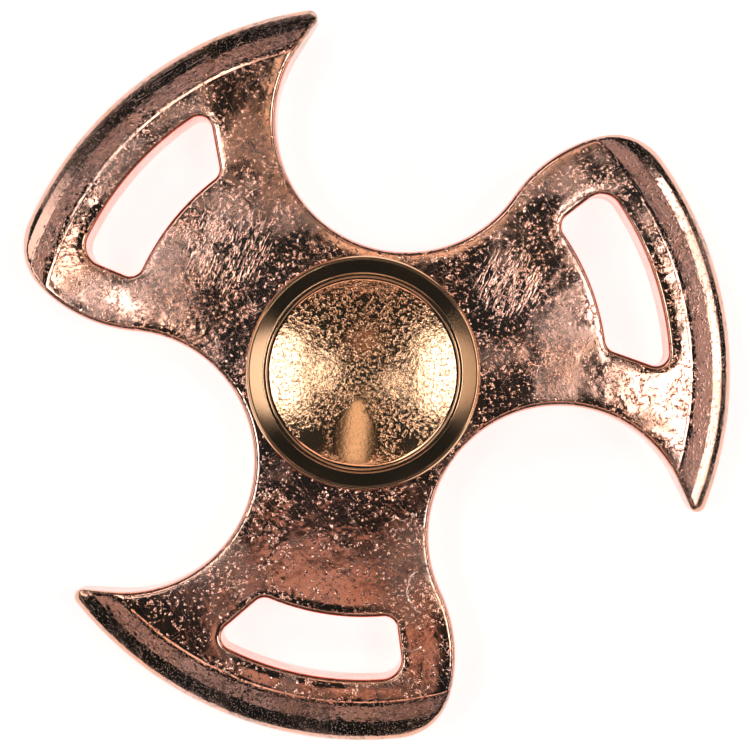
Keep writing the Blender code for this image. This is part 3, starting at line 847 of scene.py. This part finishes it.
rose_metal = rose_gold()
cap_metal = cap_gold()
race_metal = turned_steel("bearing_steel", (0.74, 0.74, 0.76), roughness=0.18, grooves=14.0,
                          depth=0.003 * MM)
ball_metal = pressed_steel("ball_steel", (0.86, 0.86, 0.88), roughness=0.05)
cage_metal = pressed_steel("cage_steel", (0.60, 0.58, 0.54), roughness=0.32)
shield_metal = turned_steel("shield_steel", (0.68, 0.68, 0.70), roughness=0.28, grooves=9.0,
                            depth=0.004 * MM)
spring_metal = pressed_steel("spring_steel", (0.42, 0.43, 0.46), roughness=0.30)

casting = placed("casting", rotor_mesh(), rose_metal, "rotor", "rotor_body")
both_faces = casting.modifiers.new("both_faces", "MIRROR")
both_faces.use_axis = (False, False, True)
both_faces.merge_threshold = 2 * MERGE
finished(casting)


# ---------------------------------------------------------------- finger caps

def cap_crown():
    """Outside of a cap from the centre of its dish to the foot of its boss."""
    dish_rim = CAP_TOP - CAP_RIM_STEP
    sphere = (DISH_RADIUS ** 2 + DISH_DEPTH ** 2) / (2 * DISH_DEPTH)
    tilt = math.asin(DISH_RADIUS / sphere)
    rise = dish_rim - DISH_DEPTH + sphere
    dish = arc_profile(0.0, rise, sphere, -math.pi / 2, tilt - math.pi / 2, DISH_STEPS)
    dish[0] = (0.0, dish[0][1])
    lip = softened([dish[-1], (LIP_INNER, CAP_TOP), (LIP_OUTER, CAP_TOP),
                    (BAND_OUTER, CAP_TOP - CAP_BAND_DROP)], CAP_LIP_ROUND, 5, closed=False)
    edge = CAP_TOP - CAP_BAND_DROP - CAP_EDGE_RADIUS
    lean = CAP_ROLL_LEAN * math.atan2(CAP_BAND_DROP, CAP_BAND_WIDTH)
    roll = arc_profile(BAND_OUTER, edge, CAP_EDGE_RADIUS, math.pi / 2 - lean, 0.0, CAP_ROLL_STEPS)
    foot = BEARING_FACE + CAP_CLEARANCE
    shoulder = INNER_LAND - SHOULDER_INSET
    under = softened([roll[-1], (CAP_RADIUS, foot), (shoulder, foot),
                      (shoulder, BEARING_FACE + SEAT_GAP), (BOSS_RADIUS, BEARING_FACE + SEAT_GAP)],
                     CAP_CHAMFER, 4, closed=False)
    return dish + lip[1:-1] + roll + under[1:]


top_profile = cap_crown() + softened(
    [(BOSS_RADIUS, BEARING_FACE + SEAT_GAP), (BOSS_RADIUS, SEAT_GAP), (STUD_RADIUS, SEAT_GAP),
     (STUD_RADIUS, -STUD_LENGTH), (0.0, -STUD_LENGTH)], STUD_ROUND, 4, closed=False)[1:]
finished(placed("top_finger_cap", turned_mesh("top_finger_cap", top_profile, closed=False),
                cap_metal, "hub", "top_cap"))

SOCKET = STUD_RADIUS + STUD_GAP
SOCKET_DEPTH = STUD_LENGTH + SOCKET_SPARE
bottom_profile = flipped(cap_crown(), -1) + softened(
    [(BOSS_RADIUS, -BEARING_FACE - SEAT_GAP), (BOSS_RADIUS, -SEAT_GAP), (SOCKET, -SEAT_GAP),
     (SOCKET, -SOCKET_DEPTH), (0.0, -SOCKET_DEPTH)], STUD_ROUND, 4, closed=False)[1:]
finished(placed("bottom_finger_cap", turned_mesh("bottom_finger_cap", bottom_profile, closed=False),
                cap_metal, "hub", "bottom_cap"))


# ---------------------------------------------------------------- bearing

BALL_GAP = 0.06 * MM
GROOVE_RADIUS = 0.52 * 2 * BALL_RADIUS
INNER_RACE_ROUND = 0.15 * MM
SMALL_ROUND = 0.05 * MM
OUTER_LAND = 2 * PITCH_RADIUS - INNER_LAND
SHIELD_THICKNESS = 0.25 * MM
SHIELD_STEP = BEARING_FACE - 0.85 * MM
SHIELD_SEAT = OUTER_LAND + 0.65 * MM
SHIELD_GAP = 0.12 * MM
SNAP_GROOVE_DEPTH = 0.3 * MM
SNAP_RING_WIDTH = 0.5 * MM
SNAP_RING_THICKNESS = 0.22 * MM
SNAP_RING_ROUND = 0.08 * MM
SNAP_RING_GAP = math.radians(24.0)
CAGE_THICKNESS = 0.3 * MM
CAGE_WIDTH = 1.7 * MM
CAGE_POCKET = BALL_RADIUS + 0.12 * MM
RIVET_RADIUS = 0.35 * MM
RIVET_HEAD_RADIUS = 0.6 * MM
RIVET_HEAD_HEIGHT = 0.25 * MM
RIVET_HOLE_DEPTH = 2 * MM


def inner_race_profile():
    centre = PITCH_RADIUS - BALL_RADIUS - BALL_GAP + GROOVE_RADIUS
    reach = math.acos((centre - INNER_LAND) / GROOVE_RADIUS)
    groove = arc_profile(centre, 0.0, GROOVE_RADIUS, math.pi - reach, math.pi + reach,
                         GROOVE_STEPS)
    upper = softened([(BORE_RADIUS, 0.0), (BORE_RADIUS, BEARING_FACE), (INNER_LAND, BEARING_FACE),
                      groove[0]], INNER_RACE_ROUND, 5, closed=False)[1:-1]
    return upper + groove + flipped(upper[::-1], -1)


def outer_race_profile():
    centre = PITCH_RADIUS + BALL_RADIUS + BALL_GAP - GROOVE_RADIUS
    reach = math.acos((OUTER_LAND - centre) / GROOVE_RADIUS)
    groove_low = SHIELD_STEP + SHIELD_THICKNESS + 2 * SEAT_GAP
    groove_high = groove_low + SNAP_RING_THICKNESS + 2 * SEAT_GAP
    groove_radius = SHIELD_SEAT + SNAP_GROOVE_DEPTH
    groove = arc_profile(centre, 0.0, GROOVE_RADIUS, -reach, reach, GROOVE_STEPS)
    upper = softened([groove[-1], (OUTER_LAND, SHIELD_STEP), (SHIELD_SEAT, SHIELD_STEP),
                      (SHIELD_SEAT, groove_low), (groove_radius, groove_low),
                      (groove_radius, groove_high), (SHIELD_SEAT, groove_high),
                      (SHIELD_SEAT, BEARING_FACE), (BEARING_RADIUS, BEARING_FACE),
                      (BEARING_RADIUS, 0.0)], SMALL_ROUND, 3, closed=False)[1:-1]
    return groove + upper + flipped(upper[::-1], -1)


def ring_section(low, high, inner, outer, side, size):
    """Section of a flat ring between two heights and two radii, with rounded corners."""
    section = softened([(inner, low), (outer, low), (outer, high), (inner, high)], size, 4)
    return flipped(section, side)


def swept_mesh(name, section, start, sweep, segments):
    """A (radius, height) section swept round part of a turn and closed flat at both ends."""
    bm = bmesh.new()
    rings = []
    for i in range(segments + 1):
        angle = start + sweep * i / segments
        rings.append([bm.verts.new((*polar(radius, angle), height)) for radius, height in section])
    for ring, following in zip(rings, rings[1:]):
        for i in range(len(section)):
            bm.faces.new((ring[i - 1], ring[i], following[i], following[i - 1]))
    bm.faces.new(rings[0])
    bm.faces.new(rings[-1])
    return mesh_from(bm, name)


def ribbon_mesh(name, side):
    """Cage half with a pocket over each ball and a flat land between the pockets."""
    inner, outer = PITCH_RADIUS - CAGE_WIDTH / 2, PITCH_RADIUS + CAGE_WIDTH / 2
    faces = []
    for size, land in ((CAGE_POCKET, SEAT_GAP),
                       (CAGE_POCKET + CAGE_THICKNESS, SEAT_GAP + CAGE_THICKNESS)):
        points = []
        for number in range(BALL_COUNT):
            start = math.pi - math.asin(land / size)
            for i in range(POCKET_STEPS + 1):
                bend = start + (math.pi - 2 * start) * i / POCKET_STEPS
                along = size * math.cos(bend) / PITCH_RADIUS
                points.append((2 * math.pi * number / BALL_COUNT + along, size * math.sin(bend)))
        faces.append(points)
    bm = bmesh.new()
    rings = []
    for (angle_in, height_in), (angle_out, height_out) in zip(*faces):
        corners = ((inner, angle_in, height_in), (outer, angle_in, height_in),
                   (outer, angle_out, height_out), (inner, angle_out, height_out))
        rings.append([bm.verts.new((*polar(radius, angle), side * height))
                      for radius, angle, height in corners])
    for number, ring in enumerate(rings):
        last = rings[number - 1]
        for i in range(4):
            bm.faces.new((last[i - 1], last[i], ring[i], ring[i - 1]))
    return mesh_from(bm, name)


def rivet_place(number):
    return (*polar(PITCH_RADIUS, 2 * math.pi * (number + 0.5) / BALL_COUNT), 0.0)


def drilled(piece):
    """Cuts the rivet holes and keeps the result as the piece's own mesh."""
    bm = bmesh.new()
    hole = RIVET_RADIUS + BORE_GAP
    for number in range(BALL_COUNT):
        made = bmesh.ops.create_cone(bm, cap_ends=True, segments=RIVET_HOLE_SEGMENTS,
                                     radius1=hole, radius2=hole, depth=RIVET_HOLE_DEPTH)
        bmesh.ops.translate(bm, verts=made["verts"], vec=rivet_place(number))
    cutter = in_scene("holes", mesh_from(bm, "holes", recalculate=False))
    cut = piece.modifiers.new("rivet_holes", "BOOLEAN")
    cut.operation = "DIFFERENCE"
    cut.object = cutter
    bpy.context.view_layer.update()
    evaluated = piece.evaluated_get(bpy.context.evaluated_depsgraph_get())
    piece.modifiers.clear()
    piece.data = bpy.data.meshes.new_from_object(evaluated)
    bpy.data.objects.remove(cutter, do_unlink=True)
    return piece


finished(placed("inner_ring", turned_mesh("inner_ring", inner_race_profile()), race_metal,
                "hub", "inner_race"))
finished(placed("outer_ring", turned_mesh("outer_ring", outer_race_profile()), race_metal,
                "rotor", "outer_race"))

for side, where in ((1, "upper"), (-1, "lower")):
    low = SHIELD_STEP + SEAT_GAP
    shield = ring_section(low, low + SHIELD_THICKNESS, INNER_LAND + SHIELD_GAP,
                          SHIELD_SEAT - SEAT_GAP, side, SMALL_ROUND)
    finished(placed(f"dust_shield_{where}", turned_mesh("dust_shield", shield), shield_metal,
                    "rotor", f"shield_{where}"))
    low += SHIELD_THICKNESS + 2 * SEAT_GAP
    outer = SHIELD_SEAT + SNAP_GROOVE_DEPTH - SEAT_GAP
    wire = ring_section(low, low + SNAP_RING_THICKNESS, outer - SNAP_RING_WIDTH, outer, side,
                        SNAP_RING_ROUND)
    finished(placed(f"retaining_ring_{where}",
                    swept_mesh("retaining_ring", wire, SNAP_RING_GAP / 2,
                               2 * math.pi - SNAP_RING_GAP, FINE_SEGMENTS),
                    spring_metal, "rotor", f"snap_ring_{where}"))
    ribbon = placed(f"ball_cage_{where}", ribbon_mesh("ball_cage", side), cage_metal, "cage",
                    f"cage_{where}")
    finished(drilled(ribbon), CAGE_SHARP_ANGLE)

ball_bm = bmesh.new()
bmesh.ops.create_uvsphere(ball_bm, u_segments=BALL_SEGMENTS, v_segments=BALL_SEGMENTS // 2,
                          radius=BALL_RADIUS)
ball_mesh = mesh_from(ball_bm, "bearing_ball", recalculate=False)

rivet_seat = 2 * SEAT_GAP + CAGE_THICKNESS
dome_angles = [i * math.pi / 2 / RIVET_DOME_STEPS for i in range(RIVET_DOME_STEPS + 1)]
rivet_dome = [(RIVET_HEAD_RADIUS * math.sin(a), rivet_seat + RIVET_HEAD_HEIGHT * math.cos(a))
              for a in dome_angles]
rivet_dome[0] = (0.0, rivet_dome[0][1])
rivet_upper = rivet_dome + [(RIVET_RADIUS, rivet_seat)]
rivet_mesh = turned_mesh("rivet", rivet_upper + flipped(rivet_upper[::-1], -1), closed=False,
                         segments=RIVET_SEGMENTS)

for number in range(BALL_COUNT):
    ball = in_scene(f"bearing_ball_{number + 1}", ball_mesh.copy())
    ball.location = (*polar(PITCH_RADIUS, 2 * math.pi * number / BALL_COUNT), 0.0)
    ball.data.materials.append(ball_metal)
    ball.data.shade_smooth()
    bpy.context.view_layer.update()
    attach(ball, f"ball_{number + 1}")
    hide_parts(f"ball_{number + 1}")

    rivet = in_scene(f"rivet_{number + 1}", rivet_mesh.copy())
    rivet.location = rivet_place(number)
    rivet.data.materials.append(cage_metal)
    bpy.context.view_layer.update()
    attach(rivet, "cage")
    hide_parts(f"cage_rivet_{number + 1}")
    finished(rivet)


# ---------------------------------------------------------------- studio

VIEW_CENTRE = Vector((1.2, -0.2, 0.0)) * MM
CAMERA_HEIGHT = 290 * MM
VIEW_WIDTH = 75.0 * MM
SENSOR_WIDTH = 36.0
FLOOR_REACH = 3.0
FLOOR_WHITE = (0.78, 0.80, 0.81)
FLOOR_GLOW = 0.70
ROOM_DARK = (0.012, 0.018, 0.020)
WHITE = (1.0, 1.0, 1.0)
PANEL_DISTANCE = 0.60
RIM_STRIP_DISTANCE = 0.58
RING_GLOWS = (0.50, 0.38, 0.35, 0.45, 0.50, 0.38, 0.33, 0.36)   # round the object from +X
SOFTBOX_WARM = (1.0, 0.88, 0.76)
SOFTBOX_PLAIN = (1.0, 0.98, 0.95)
RING_PINK = (1.0, 0.84, 0.82)
COPPER_LIGHT = (1.0, 0.68, 0.55)
STRIP_WARM = (1.0, 0.80, 0.60)
CARD_WARM = (1.0, 0.60, 0.46)


def plain_surface(name, colour, glow):
    """A matt surface that also glows white, so that it stays white between the lights."""
    material = bpy.data.materials.new(name)
    material.use_nodes = True
    surface = material.node_tree.nodes["Principled BSDF"]
    surface.inputs["Base Color"].default_value = (*colour, 1.0)
    surface.inputs["Roughness"].default_value = 0.9
    surface.inputs["Specular IOR Level"].default_value = 0.0
    surface.inputs["Emission Color"].default_value = (*WHITE, 1.0)
    surface.inputs["Emission Strength"].default_value = glow
    return material


def panel(name, tilt, azimuth, width, depth, radiance, colour=WHITE, distance=PANEL_DISTANCE):
    """Softbox that faces the object: tilt from straight up, azimuth about Z, both in degrees."""
    data = bpy.data.lights.new(name, "AREA")
    data.shape = "RECTANGLE"
    data.size = width
    data.size_y = depth
    data.color = colour
    data.energy = radiance * math.pi * width * depth
    light = in_scene(name, data)
    light.rotation_euler = (0.0, math.radians(tilt), math.radians(azimuth))
    bpy.context.view_layer.update()
    light.location = light.matrix_world.to_3x3() @ Vector((0.0, 0.0, distance))


floor_mesh = bpy.data.meshes.new("floor")
floor_corners = [(x * FLOOR_REACH, y * FLOOR_REACH, 0)
                 for x, y in ((-1, -1), (1, -1), (1, 1), (-1, 1))]
floor_mesh.from_pydata(floor_corners, [], [(0, 1, 2, 3)])
floor_mesh.materials.append(plain_surface("floor_white", FLOOR_WHITE, FLOOR_GLOW))
floor = in_scene("floor", floor_mesh)
floor.location.z = -CAP_TOP

for side, azimuth, glow, colour in (("right", 0, 0.6, SOFTBOX_WARM),
                                    ("left", 180, 1.3, SOFTBOX_PLAIN)):
    panel(f"window_{side}", 20.5, azimuth, width=0.12, depth=0.18, radiance=5.0)
    panel(f"softbox_{side}", 67.5, azimuth, width=0.15, depth=0.70, radiance=glow, colour=colour)
for number, glow in enumerate(RING_GLOWS):
    panel(f"dim_{number}", 53.6, 360 / len(RING_GLOWS) * number, width=0.085, depth=0.39,
          radiance=glow, colour=RING_PINK)
for side, azimuth in (("back", 90), ("front", -90)):
    panel(f"copper_{side}", 27, azimuth, width=0.08, depth=0.50, radiance=1.4,
          colour=COPPER_LIGHT)
panel("upper_left_card", 33, 130, width=0.09, depth=0.24, radiance=2.6)
for side, azimuth in (("high", 18), ("low", -12)):
    panel(f"rim_strip_{side}", 66.2, azimuth, width=0.044, depth=0.30, radiance=3.4,
          distance=RIM_STRIP_DISTANCE)
panel("right_card", 9.1, -2, width=0.030, depth=0.066, radiance=5.0)
panel("left_card", 8.2, 163, width=0.036, depth=0.030, radiance=4.0)
panel("warm_strip", 13.8, 85, width=0.165, depth=0.052, radiance=1.0, colour=STRIP_WARM)
panel("warm_card", 7.6, -96.5, width=0.046, depth=0.060, radiance=0.56, colour=CARD_WARM)

world = bpy.data.worlds.new("studio")
world.use_nodes = True
world.node_tree.nodes["Background"].inputs["Color"].default_value = (*ROOM_DARK, 1.0)
bpy.context.scene.world = world

camera_data = bpy.data.cameras.new("camera")
camera_data.sensor_width = SENSOR_WIDTH
camera_data.lens = SENSOR_WIDTH * (CAMERA_HEIGHT - FACE) / VIEW_WIDTH
camera_data.clip_start = 5 * MM
camera = in_scene("camera", camera_data)
camera.location = VIEW_CENTRE + Vector((0.0, 0.0, CAMERA_HEIGHT))
bpy.context.scene.camera = camera
bpy.context.scene.view_settings.view_transform = "Standard"

bpy.context.view_layer.update()
